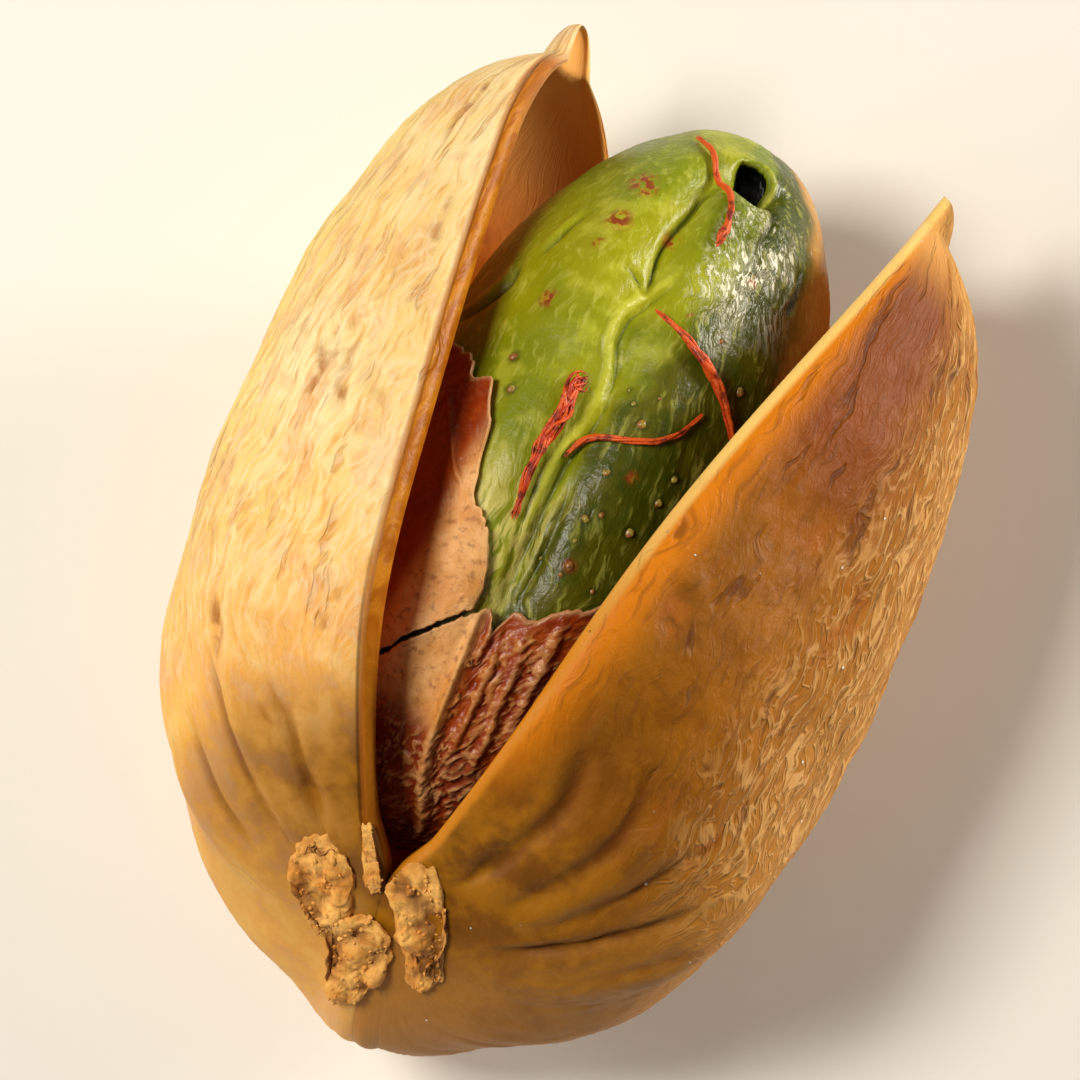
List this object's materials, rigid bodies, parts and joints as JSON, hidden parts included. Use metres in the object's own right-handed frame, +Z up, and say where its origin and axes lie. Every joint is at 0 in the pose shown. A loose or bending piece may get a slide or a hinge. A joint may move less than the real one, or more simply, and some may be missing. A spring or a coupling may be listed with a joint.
{
  "type": "pistachio in shell",
  "caption": "Pistachio lying on its back, its two shell valves sprung open over the green kernel, which keeps torn seed coat and dry red threads.",
  "frame": {"origin": "on the surface that the nut rests on, under the middle of its bounding box", "axes": "+Y along the nut from the stem end to the tips, +Z up, through the split"},
  "size_m": [0.0166, 0.0238, 0.0131],
  "materials": {
    "shell": "dry woody shell, satin, cream to amber",
    "kernel": "oily green seed, glossy in places",
    "seed_coat": "papery red-brown skin, dull on top, glossy where it is wrinkled",
    "stalk": "dry crumbly tissue, matt",
    "red_thread": "dry fibrous shreds, satin"
  },
  "bodies": {
    "root": {"shell": "shell", "kernel": "kernel", "seed_coat_cup": "seed_coat", "seed_coat_flap": "seed_coat", "stalk_scar_left": "stalk", "stalk_scar_middle": "stalk", "stalk_scar_right": "stalk", "stalk_flake": "stalk", "red_thread_top": "red_thread", "red_thread_right": "red_thread", "red_thread_left": "red_thread", "red_thread_low": "red_thread"}
  },
  "joints": []
}
